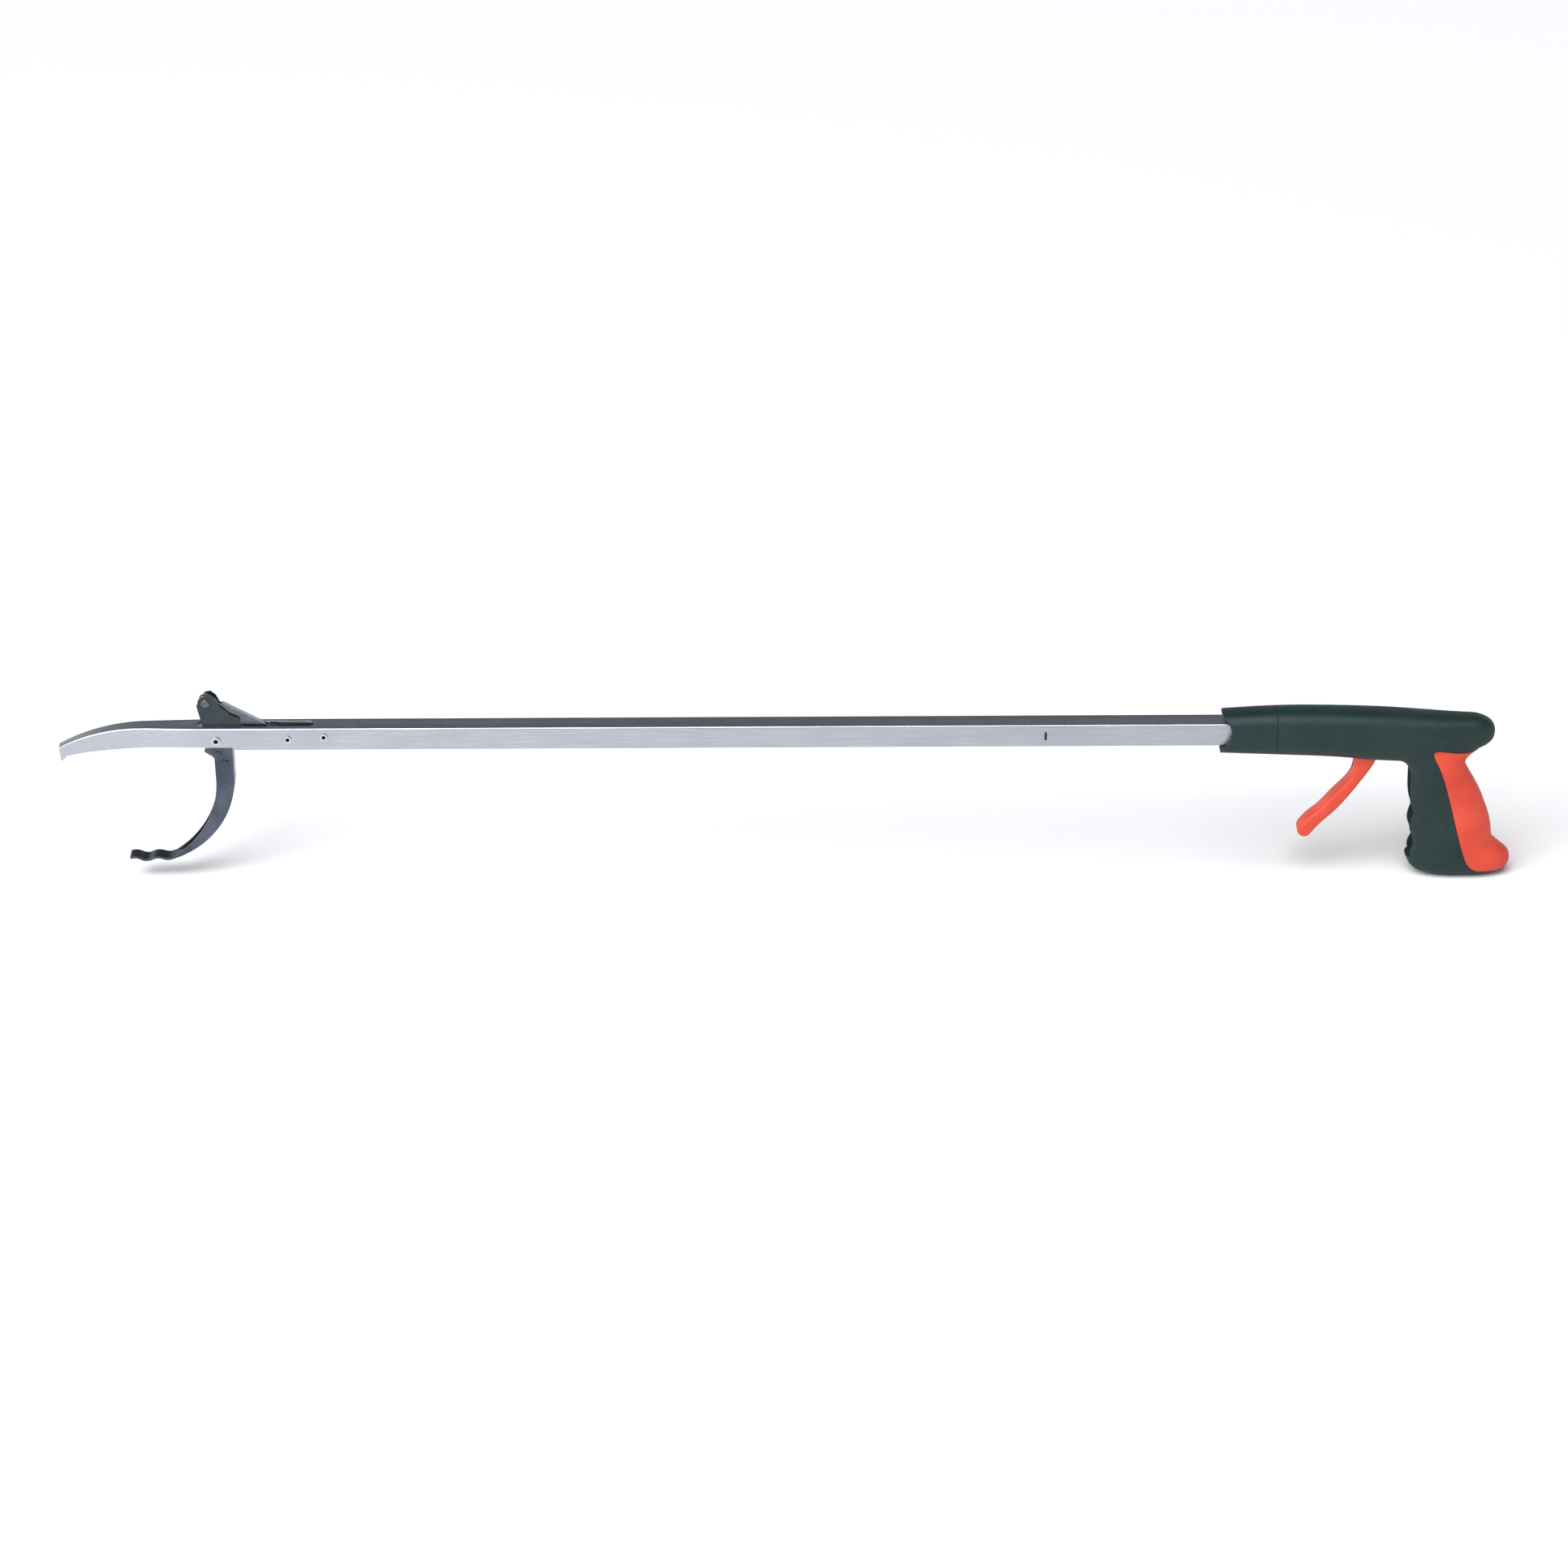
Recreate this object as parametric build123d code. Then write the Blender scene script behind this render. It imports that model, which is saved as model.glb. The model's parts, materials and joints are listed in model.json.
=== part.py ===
from build123d import *
import os
from math import atan2, cos, degrees, radians, sin

os.makedirs("parts", exist_ok=True)

# Reacher grabber, millimetres. X runs along the shaft, jaws at -X and handle at +X, and Z is up.
# The origin is the centre of the hand grip. Side outlines are (x, z) with z from the shaft's axis.

# Driving dimensions
SHAFT_Z = 62.0            # height of the shaft's axis above the grip centre
TUBE = 15.0               # square shaft, outside
TUBE_WALL = 1.2
TUBE_IN = TUBE / 2 - TUBE_WALL
TUBE_REAR = -83.0         # rear end of the shaft, inside the handle
TIP_X = -874.0            # foremost point of the fixed jaw

PIVOT = (-774.0, -1.0)    # jaw pivot
LEVER_ARM = 25.0          # jaw pivot to link pin
LEVER_ANGLE = 103.5       # degrees from +X at rest, jaws open
ROD_PIN = (-737.08, 1.5)  # rear pin of the link at rest
PIVOT_R = 2.0
LINK_PIN_R = 1.5
RUN = 0.05                # radial running clearance of a pin

JAW_W = 10.0              # width of the moving jaw
JAW_T = 1.4               # its sheet thickness
LEVER_IN = 4.2            # gap between the lever's cheeks
LEVER_OUT = 6.8           # width over the lever's cheeks
LINK_IN = 2.6             # inside width of the link, which runs between the lever's cheeks
LINK_OUT = 3.9
ROD_T = 2.4               # pull rod, a steel strip on edge
ROD_H = 8.0

TRIGGER_PIVOT = (-45.0, 7.8)
TRIGGER_REST = 248.25     # direction of the rod pin from the trigger pivot at rest, from +X
TRIGGER_ARM = 30.1        # trigger pivot to rod pin
TRIGGER_W = 13.0
TRIGGER_PIN_R = 1.5
TRIGGER_PIN_HALF = 10.5   # half length of the pivot pin
HUB_R = 3.2

SEAT_X = -256.0           # spring seat, middle
SEAT_L = 10.0
SPRING_L = 50.0           # at rest
SPRING_R = 5.2            # to the middle of the wire
WIRE_R = 0.5
SPRING_TURNS = 12

WALL = 2.0                # handle shell
PAD_T = 3.0               # grip pad
SEAM_X = -112.0           # joint between the nose collar and the shells
NOSE_X = -146.5

SIDE = Plane(origin=(0, 0, SHAFT_Z), x_dir=(1, 0, 0), z_dir=(0, -1, 0))


def slab(outline, y_low, y_high):
    """Extrude a side outline between two lateral positions."""
    return extrude(SIDE.offset(-y_high) * outline, y_high - y_low)


def centred(outline, width):
    return slab(outline, -width / 2, width / 2)


def disc(centre, radius, y_low, y_high):
    return slab(Pos(*centre) * Circle(radius), y_low, y_high)


def block(x_low, x_high, half_y, z_low, z_high):
    size = (x_high - x_low, 2 * half_y, z_high - z_low)
    centre = ((x_low + x_high) / 2, 0, SHAFT_Z + (z_low + z_high) / 2)
    return Pos(*centre) * Box(*size)


def polygon(*points):
    return make_face(Polyline(*points, close=True))


def arm(start, end, width):
    """A straight bar with round ends at two centres."""
    a, b = Vector(*start), Vector(*end)
    along = b - a
    turn = degrees(atan2(along.Y, along.X))
    return Pos(*((a + b) * 0.5)) * Rot(0, 0, turn) * SlotCenterToCenter(along.length, width)


def polar(centre, radius, angle):
    return (centre[0] + radius * cos(radians(angle)), centre[1] + radius * sin(radians(angle)))


def save(name, shape):
    shape.label = name
    export_step(shape, f"parts/{name}.step")


LEVER_PIN = polar(PIVOT, LEVER_ARM, LEVER_ANGLE)
ROD_EYE = polar(TRIGGER_PIVOT, TRIGGER_ARM, TRIGGER_REST)

# ---------------------------------------------------------------- shaft with the fixed jaw

BEND_X = -818.0           # where the shaft starts to curve down
BEND_R = 115.0
TAPER_X = -786.0          # where its sides start to close in
TIP_HALF = 3.5            # half width at the tip
MOUTH_X = -762.0          # rear end of the open underside
SKIRT = 12.9              # depth of the fixed jaw's side walls
LIP = (-872.2, -15.8)     # bottom of the claw lip
LIP_T = 1.5
LIP_ROOT = (-868.2, -12.5)
HEEL = (-856.0, -9.9)     # where the sides' lower edge starts to curve up
BELOW = -40.0             # a level under the whole shaft
TOP_SLOT = (-786.0, -713.0)
TOP_SLOT_W = 7.2
CORNER_R = 1.2


def jaw_profile(inset):
    """Side outline of the shaft and fixed jaw, with its top and lip moved in by inset."""
    centre_z = TUBE / 2 - BEND_R
    radius = BEND_R - inset
    end_x = TIP_X + 0.9 + inset * 1.2
    end_z = centre_z + (radius ** 2 - (end_x - BEND_X) ** 2) ** 0.5
    mid_x = (BEND_X + end_x) / 2
    mid_z = centre_z + (radius ** 2 - (mid_x - BEND_X) ** 2) ** 0.5
    top_z = TUBE / 2 - inset
    top = Line((TUBE_REAR, top_z), (BEND_X, top_z))
    curve = ThreePointArc((BEND_X, top_z), (mid_x, mid_z), (end_x, end_z))
    lip_x = LIP[0] + inset
    if inset:
        rest = Polyline((end_x, end_z), (lip_x, LIP[1]), (lip_x, BELOW), (MOUTH_X, BELOW),
                        (MOUTH_X, -top_z), (TUBE_REAR, -top_z), (TUBE_REAR, top_z))
        return make_face([top, curve, rest])
    skirt_z = TUBE / 2 - SKIRT
    under = ThreePointArc(HEEL, (-837.5, -7.3), (-812.0, skirt_z))
    front = Polyline((end_x, end_z), LIP, (LIP[0] + LIP_T, LIP[1]), LIP_ROOT, HEEL)
    rear = Polyline((-812.0, skirt_z), (MOUTH_X - 2, skirt_z), (MOUTH_X, -TUBE / 2),
                    (TUBE_REAR, -TUBE / 2), (TUBE_REAR, TUBE / 2))
    return make_face([top, curve, front, under, rear])


def jaw_plan(inset):
    """Plan outline of the shaft and fixed jaw, its sides moved in by inset."""
    half = TUBE / 2 - inset
    tip = TIP_HALF - inset
    return polygon((TUBE_REAR, -half), (TUBE_REAR, half), (TAPER_X, half), (TIP_X - 4, tip),
                   (TIP_X - 4, -tip), (TAPER_X, -half))


def rivet_holes(centres, radius):
    holes = [disc(c, radius, -TUBE, TUBE) for c in centres]
    return Compound(holes)


GUIDE_RIVETS = [(-729.2, 0.0), (-706.6, 1.6)]
GUIDE_RIVET_R = 1.5
KEY = (1.5, 5.6)          # punched slots that hold the spring seat
KEY_IN = 4.2              # inner end of a key
RETAINER_X = -92.0        # screw that holds the shaft in the handle
RETAINER_R = 1.5


def shaft_tube():
    tall = 200.0
    floor = Plane.XY.offset(SHAFT_Z - tall / 2)
    outer = centred(jaw_profile(0), TUBE) & extrude(floor * jaw_plan(0), tall)
    corners = outer.edges().filter_by(Axis.X).filter_by(lambda e: e.length > 400)
    outer = fillet(corners, CORNER_R)
    inner = centred(jaw_profile(TUBE_WALL), TUBE) & extrude(floor * jaw_plan(TUBE_WALL), tall)
    tube = outer - inner
    slot_l = TOP_SLOT[1] - TOP_SLOT[0]
    slot = Pos((TOP_SLOT[0] + TOP_SLOT[1]) / 2, 0) * SlotOverall(slot_l, TOP_SLOT_W)
    tube -= extrude(Plane.XY.offset(SHAFT_Z + 4) * slot, 10)
    tube -= rivet_holes([PIVOT], PIVOT_R)
    tube -= rivet_holes(GUIDE_RIVETS, GUIDE_RIVET_R)
    tube -= rivet_holes([(RETAINER_X, 0)], RETAINER_R)
    tube -= centred(Pos(SEAT_X, 0) * Rectangle(*KEY), 2 * TUBE)
    return tube


# ---------------------------------------------------------------- moving jaw and its lever

JAW_BACK = 9.7            # back of the jaw behind the pivot
BACK_TOP = -6.0           # top of the back, from the pivot
BACK_STEPS = [(62.0, -72.0), (8.0, -40.0), (8.0, 50.0), (8.0, -56.0), (8.0, 46.0)]
BACK_RUN = 20.0           # straight length above the curve
JAW_RIVETS = [(0.4, -10.5), (4.2, -16.6)]
JAW_RIVET_R = 1.3


def from_pivot(u, v):
    return (PIVOT[0] + u, PIVOT[1] + v)


def back_line(inset, steps):
    """The jaw's back as tangent arcs of (radius, turn), moved towards the hollow by inset."""
    point = Vector(*from_pivot(JAW_BACK - inset, BACK_TOP))
    heading = -90.0
    end = point + Vector(0, -BACK_RUN, 0)
    lines = [Line(point, end)]
    for radius, turn in steps:
        side = 1 if turn > 0 else -1
        size = radius + side * inset
        centre = end + Vector(*polar((0, 0), size, heading + 90 * side))
        first = heading - 90 * side
        mid = Vector(*polar((centre.X, centre.Y), size, first + turn / 2))
        stop = Vector(*polar((centre.X, centre.Y), size, first + turn))
        lines.append(ThreePointArc(end, mid, stop))
        end = stop
        heading += turn
    return lines


def strip_outline(steps, thickness):
    outer = back_line(0, steps)
    inner = back_line(thickness, steps)
    start = Line(outer[0] @ 0, inner[0] @ 0)
    end = Line(outer[-1] @ 1, inner[-1] @ 1)
    return make_face([start, *outer, end, *inner])


def flange_outline():
    """Side flange of the jaw, deep at the pivot and running out at the corrugated tip."""
    back = back_line(JAW_T / 2, BACK_STEPS[:1])
    low = back[-1] @ 1
    edge = ThreePointArc(low, from_pivot(-10.5, -61.0), from_pivot(-1.8, -27.0))
    root = Polyline(from_pivot(-1.8, -27.0), from_pivot(-2.0, -12.6), from_pivot(-8.0, -8.5),
                    from_pivot(-5.0, 4.0), from_pivot(-2.5, 5.6), from_pivot(3.0, 5.6),
                    from_pivot(JAW_BACK - 1.6, 0.0), back[0] @ 0)
    return make_face([*back, edge, root])


def moving_jaw():
    strip = centred(strip_outline(BACK_STEPS, JAW_T), JAW_W)
    flange = flange_outline()
    inside = JAW_W / 2 - JAW_T
    jaw = strip + slab(flange, inside, JAW_W / 2) + slab(flange, -JAW_W / 2, -inside)
    holes = [disc(from_pivot(*c), JAW_RIVET_R, -TUBE, TUBE) for c in JAW_RIVETS]
    jaw -= disc(PIVOT, PIVOT_R + RUN, -TUBE, TUBE)
    for hole in holes:
        jaw -= hole
    return jaw


# Side outline of a lever cheek, from the pivot
LEVER_CHEEK = [(-8.0, 7.0), (-11.4, 22.8), (-6.4, 29.6), (-2.8, 30.4), (0.6, 27.6), (3.2, 22.2),
               (9.0, 16.8), (14.6, 14.0), (15.6, 11.6), (11.0, 7.6), (4.0, -4.0), (-4.0, -4.0)]
LEVER_CORNER_R = 1.0
LEVER_ROOT_R = 6.2
LEVER_ARM_W = (8.4, 7.0)  # width of the root above and below its upper rivet


def jaw_lever():
    """Cast lever: a thick root riveted inside the jaw and two cheeks up through the shaft."""
    cheek = polygon(*[from_pivot(*point) for point in LEVER_CHEEK])
    cheek = fillet(cheek.vertices(), LEVER_CORNER_R)
    upper, lower = [from_pivot(*centre) for centre in JAW_RIVETS]
    root_w = JAW_W - 2 * JAW_T
    root = disc(PIVOT, LEVER_ROOT_R, -root_w / 2, root_w / 2)
    root += centred(arm(PIVOT, upper, LEVER_ARM_W[0]), root_w)
    root += centred(arm(upper, lower, LEVER_ARM_W[1]), root_w)
    lever = root + slab(cheek, LEVER_IN / 2, LEVER_OUT / 2)
    lever += slab(cheek, -LEVER_OUT / 2, -LEVER_IN / 2)
    lever -= disc(PIVOT, PIVOT_R + RUN, -TUBE, TUBE)
    for centre in (upper, lower):
        lever -= disc(centre, JAW_RIVET_R, -TUBE, TUBE)
    return lever - disc(LEVER_PIN, LINK_PIN_R, -TUBE, TUBE)


BORE_DEPTH = 2.6          # blind recess in a rivet, below its head


def rivet(centre, shank_r, half, head_r, head_t, bore_r=0.0):
    """A rivet right through, with a low head each side and an optional blind recess."""
    body = disc(centre, shank_r, -half, half)
    for low, high in ((half, half + head_t), (-half - head_t, -half)):
        body += disc(centre, head_r, low, high)
    if bore_r:
        depth = head_t + BORE_DEPTH
        body -= disc(centre, bore_r, half + head_t - depth, half + head_t)
        body -= disc(centre, bore_r, -half - head_t, -half - head_t + depth)
    return body


def jaw_pivot_washers():
    ring = Pos(*PIVOT) * (Circle(4.0) - Circle(PIVOT_R))
    gap = 0.1
    return Compound([slab(ring, JAW_W / 2 + gap, TUBE_IN), slab(ring, -TUBE_IN, -JAW_W / 2 - gap)])


LINK_DEPTH = 6.8
LINK_SLOT = (6.7, 4.3)    # the open pivot: a slot across the link's front end, length and width
LINK_EYE_R = 4.6
LINK_WEB = (9.5, 9.0)     # distance of the web's ends from the two pins
LINK_RISE = (4.4, 3.2)    # height of the web over the line of the pins, front and rear


def jaw_link():
    """Folded link: two cheeks joined by a web over their middle."""
    cheek = Sketch() + [
        arm(LEVER_PIN, ROD_PIN, LINK_DEPTH),
        Pos(*LEVER_PIN) * Circle(LINK_EYE_R),
        link_web_outline(LINK_DEPTH + 0.6),
    ]
    slope = degrees(atan2(LEVER_PIN[1] - ROD_PIN[1], LEVER_PIN[0] - ROD_PIN[0]))
    cheek -= Pos(*LEVER_PIN) * Rot(0, 0, slope + 90) * SlotOverall(*LINK_SLOT)
    cheek -= Pos(*ROD_PIN) * Circle(LINK_PIN_R + RUN)
    link = slab(cheek, LINK_IN / 2, LINK_OUT / 2) + slab(cheek, -LINK_OUT / 2, -LINK_IN / 2)
    return link + centred(link_web_outline(1.2), LINK_OUT)


def link_web_outline(depth):
    """A strip under the link's top line, between the lever's head and the shaft."""
    a, b = Vector(*LEVER_PIN), Vector(*ROD_PIN)
    along = (b - a).normalized()
    up = Vector(-along.Y, along.X, 0)
    p = a + along * LINK_WEB[0] + up * LINK_RISE[0]
    q = b - along * LINK_WEB[1] + up * LINK_RISE[1]
    return polygon(p, q, q - up * depth, p - up * depth)


# ---------------------------------------------------------------- pull rod, guides and spring

HOOK_X = -72.0            # where the rod turns down to the trigger
EYE_SLOT = (3.3, 5.7)     # lets the rod pin rise and fall as the trigger swings
EYE_DROP = 1.05           # slot centre below the rod pin at rest
COLLAR_X = SEAT_X - SEAT_L / 2 - SPRING_L
COLLAR_L = 6.0
COLLAR_HALF = 5.95        # half width and height of the collar on the rod
COLLAR_PIN = (COLLAR_X - COLLAR_L / 2, 0)
COLLAR_PIN_R = 1.0


def pull_rod():
    front = ROD_PIN[0] - 4.2
    strip = Pos((front + HOOK_X) / 2, 0) * SlotOverall(HOOK_X - front + ROD_H / 2, ROD_H)
    eye = (ROD_EYE[0], ROD_EYE[1] - EYE_DROP)
    outline = Sketch() + [
        strip,
        arm((HOOK_X - 1.5, 0), eye, 7.0),
        Pos(*eye) * Rot(0, 0, 90) * SlotOverall(8.9, 6.6),
    ]
    outline -= Pos(*eye) * Rot(0, 0, 90) * SlotOverall(EYE_SLOT[1], EYE_SLOT[0])
    outline -= Pos(*ROD_PIN) * Circle(LINK_PIN_R)
    outline -= Pos(*COLLAR_PIN) * Circle(COLLAR_PIN_R)
    return centred(outline, ROD_T)


PAD_IN = 3.9              # inner face of the guide pads
PAD_X = (-740.0, -696.0)


def rod_guide(side):
    low, high = sorted((side * PAD_IN, side * TUBE_IN))
    outline = Pos(sum(PAD_X) / 2, 0) * RectangleRounded(PAD_X[1] - PAD_X[0], 2 * 6.1, 2.0)
    for centre in GUIDE_RIVETS:
        outline -= Pos(*centre) * Circle(GUIDE_RIVET_R)
    return slab(outline, low, high)


def guide_rivets():
    rivets = []
    for centre in GUIDE_RIVETS:
        for side in (-1, 1):
            low, high = sorted((side * PAD_IN, side * TUBE / 2))
            out = sorted((side * TUBE / 2, side * (TUBE / 2 + 0.7)))
            body = disc(centre, GUIDE_RIVET_R, low, high) + disc(centre, 2.5, *out)
            bore = sorted((side * (TUBE / 2 - BORE_DEPTH), side * TUBE))
            rivets.append(body - disc(centre, 1.2, *bore))
    return Compound(rivets)


def rod_slot(gap):
    return Rectangle(ROD_T + 2 * gap, ROD_H + 2 * gap)


def guide_plug(x_low, x_high, half, gap):
    """A square moulding in the shaft, with a slot that the rod runs through."""
    face = Plane(origin=(x_low, 0, SHAFT_Z), x_dir=(0, 1, 0), z_dir=(1, 0, 0))
    outline = RectangleRounded(2 * half, 2 * half, 0.8) - rod_slot(gap)
    return extrude(face * outline, x_high - x_low)


def spring_seat():
    seat = guide_plug(SEAT_X - SEAT_L / 2, SEAT_X + SEAT_L / 2, TUBE_IN, 0.3)
    for side in (-1, 1):
        low, high = sorted((side * KEY_IN, side * TUBE_IN))
        seat -= slab(Pos(SEAT_X, 0) * Rectangle(*KEY), low, high)
    return seat


def spring_seat_keys():
    keys = []
    for side in (-1, 1):
        low, high = sorted((side * KEY_IN, side * (TUBE / 2 + 0.2)))
        keys.append(slab(Pos(SEAT_X, 0) * Rectangle(*KEY), low, high))
    return Compound(keys)


def spring_collar():
    collar = guide_plug(COLLAR_X - COLLAR_L, COLLAR_X, COLLAR_HALF, 0.0)
    return collar - disc(COLLAR_PIN, COLLAR_PIN_R, -TUBE, TUBE)


def return_spring():
    length = SPRING_L - 2 * WIRE_R - 0.2
    start = Plane(origin=(COLLAR_X + WIRE_R + 0.1, 0, SHAFT_Z), x_dir=(0, 1, 0), z_dir=(1, 0, 0))
    path = start * Helix(length / SPRING_TURNS, length, SPRING_R)
    wire = Plane(origin=path @ 0, z_dir=path % 0) * Circle(WIRE_R)
    return sweep(wire, path=path, is_frenet=True)


def shaft_end_guide():
    inner = guide_plug(TUBE_REAR - 16, TUBE_REAR, TUBE_IN, 0.3)
    guide = inner + guide_plug(TUBE_REAR, TUBE_REAR + 2, TUBE / 2, 0.3)
    return guide - disc((RETAINER_X, 0), RETAINER_R, -TUBE, TUBE)


# ---------------------------------------------------------------- trigger

BLADE_FRONT = [(-62.0, -19.0), (-63.8, -30.0), (-73.8, -42.6), (-83.8, -54.4), (-95.0, -66.4)]
BLADE_REAR = [(-87.2, -71.4), (-72.2, -54.6), (-61.2, -40.2), (-53.4, -28.4), (-47.8, -17.0)]
BLADE_ROUND = 3.0
FORK_W = 3.2              # slot that the rod's eye works in
ROD_PIN_ENDS = (-4.5, 6.0)
HUB_W = 12.0


def trigger():
    a, b = Vector(*BLADE_FRONT[-1]), Vector(*BLADE_REAR[0])
    down = Vector((b - a).Y, -(b - a).X, 0).normalized()
    toe = ThreePointArc(a, (a + b) * 0.5 + down * ((b - a).length / 2), b)
    front = Spline(*BLADE_FRONT, tangents=[(0.05, -1.0), (down.X, down.Y)])
    rear = Spline(*BLADE_REAR, tangents=[(-down.X, -down.Y), (0.3, 1.0)])
    x, z = TRIGGER_PIVOT
    neck = Polyline(BLADE_REAR[-1], (x + HUB_R, z), (x - HUB_R, z), BLADE_FRONT[0])
    solid = centred(make_face([front, toe, rear, neck]), TRIGGER_W)
    rims = solid.edges().filter_by(lambda e: e.center().Z < SHAFT_Z - 22 and abs(e.center().Y) > 6)
    solid = fillet(rims, BLADE_ROUND)
    shoulder_z = -15.5
    solid -= block(-100, 0, 20, shoulder_z, 40) - block(-100, 0, HUB_W / 2, -20, 40)
    solid += disc(TRIGGER_PIVOT, HUB_R, -HUB_W / 2, HUB_W / 2)
    fork = Sketch() + [
        Pos(*ROD_EYE) * Circle(8.4),
        polygon((-75, -27), (-44, -13), (-44, 2.8), (-75, 2.8)),
    ]
    solid -= centred(fork, FORK_W)
    solid -= disc(TRIGGER_PIVOT, TRIGGER_PIN_R + RUN, -TUBE, TUBE)
    return solid - disc(ROD_EYE, LINK_PIN_R, ROD_PIN_ENDS[0], TUBE)


BUSH_OUT = 8.6
BUSH_R = 2.6
HUB_GAP = 0.4


def trigger_bushes():
    ring = Pos(*TRIGGER_PIVOT) * (Circle(BUSH_R) - Circle(TRIGGER_PIN_R))
    gap = HUB_W / 2 + 0.1
    return Compound([slab(ring, gap, BUSH_OUT), slab(ring, -BUSH_OUT, -gap)])


# ---------------------------------------------------------------- handle

# Cross-sections along the body: x, centre height, half height, half width
BODY = [
    (NOSE_X, -0.3, 13.5, 12.3),
    (SEAM_X, 0.0, 14.9, 13.4),
    (-73.0, -1.0, 15.6, 14.0),
    (-44.0, -2.9, 16.5, 14.2),
    (-20.0, -4.2, 15.8, 14.0),
    (0.0, -2.6, 12.8, 13.0),
    (21.5, -1.0, 9.0, 9.6),
]
BODY_ROUND = 0.86         # corner radius as a share of the smaller half side
TAIL_ROUND = 7.5
# Cross-sections down the grip: z, front x, rear x, half width. Two shallow finger hollows.
GRIP = [
    (-12.0, -27.4, 4.5, 13.3),
    (-23.0, -27.6, 8.6, 13.4),
    (-34.0, -27.4, 14.2, 13.6),
    (-45.0, -26.8, 19.4, 13.6),
    (-56.0, -24.9, 22.8, 13.5),
    (-66.0, -26.4, 25.8, 13.4),
    (-76.0, -23.8, 28.0, 13.3),
    (-84.5, -24.6, 33.2, 13.2),
    (-92.0, -22.6, 38.4, 13.2),
    (-99.2, -20.0, 37.0, 12.8),
]
GRIP_ROUND = 0.84
BUTT_ROUND = 5.0
SLOT_HALF = 7.1           # half width of the trigger's slot and of its recess in the grip
SCREWS = [(-62.0, 8.8, 9.6), (-8.0, -1.0, 12.0), (-11.5, -40.0, 12.2), (-5.0, -80.0, 12.0)]
SCREW_R = 1.3
SCREW_HEAD_R = 2.6
SCREW_HEAD_T = 1.8
BOSS_R = 3.4
PIVOT_BOSS_R = 4.2
SCREW_TIP = -9.0          # inner end of a screw, in the left shell
HOOK_SPACE = (3.0, -14.0, 5.2)  # half width, bottom and top of the space for the rod's hook
BOSS_INSET = 0.6          # the bosses stop this far inside the outer surface
SCOOP_R = 17.0            # the collar's front is scooped out by a cylinder across the handle
SCOOP = 6.5
SCOOP_Z = 2.0
DOWEL_END = 11.0
RIBS = [(-111.5, -107.0), (-88.0, -79.0)]


def body_volume(inset):
    faces = []
    for x, z, half_z, half_y in BODY:
        height, width = 2 * (half_z - inset), 2 * (half_y - inset)
        face = Plane(origin=(x, 0, SHAFT_Z + z), x_dir=(0, 1, 0), z_dir=(1, 0, 0))
        faces.append(face * RectangleRounded(width, height, min(height, width) / 2 * BODY_ROUND))
    return loft(faces)


def grip_volume(inset):
    faces = []
    for z, front, rear, half_y in GRIP:
        width, depth = 2 * (half_y - inset), rear - front - 2 * inset
        outline = RectangleRounded(depth, width, min(width, depth) / 2 * GRIP_ROUND)
        faces.append(Plane.XY.offset(SHAFT_Z + z) * Pos((front + rear) / 2, 0) * outline)
    return loft(faces)


def handle_outer():
    body = body_volume(0)
    body = fillet(body.faces().sort_by(Axis.X)[-1].edges(), TAIL_ROUND)
    grip = grip_volume(0)
    grip = fillet(grip.faces().sort_by(Axis.Z)[0].edges(), BUTT_ROUND)
    return body + grip


def pad_region():
    return centred(polygon((-15, -9), (11, -12.5), (45, -16), (45, -93.6), (14, -93.6),
                           (6.5, -78), (1.7, -57.6), (-3, -40), (-8.6, -22)), 40)


def handle_cavity():
    thick = PAD_T + WALL + 0.4
    grip = grip_volume(thick) & block(-60, 60, 20, -95, 0)
    front = body_volume(WALL) & block(SEAM_X + 0.5, -17, 20, -30, 30)
    rear = body_volume(thick) & block(-20, 16, 20, -30, 30)
    return front + rear + grip


def recess(grow):
    """Slot under the body and recess in the grip's front that the trigger folds into."""
    rear_x = [(-27, -13), (-24.5, -24), (-22, -38), (-19.6, -55), (-19.4, -72), (-21.5, -87)]
    rear = [(x + grow, z) for x, z in rear_x]
    front = -66.5
    outline = polygon((front, -12), *rear, (-40, -89 - grow), (front, -40))
    return centred(outline, 2 * (SLOT_HALF + grow))


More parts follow.
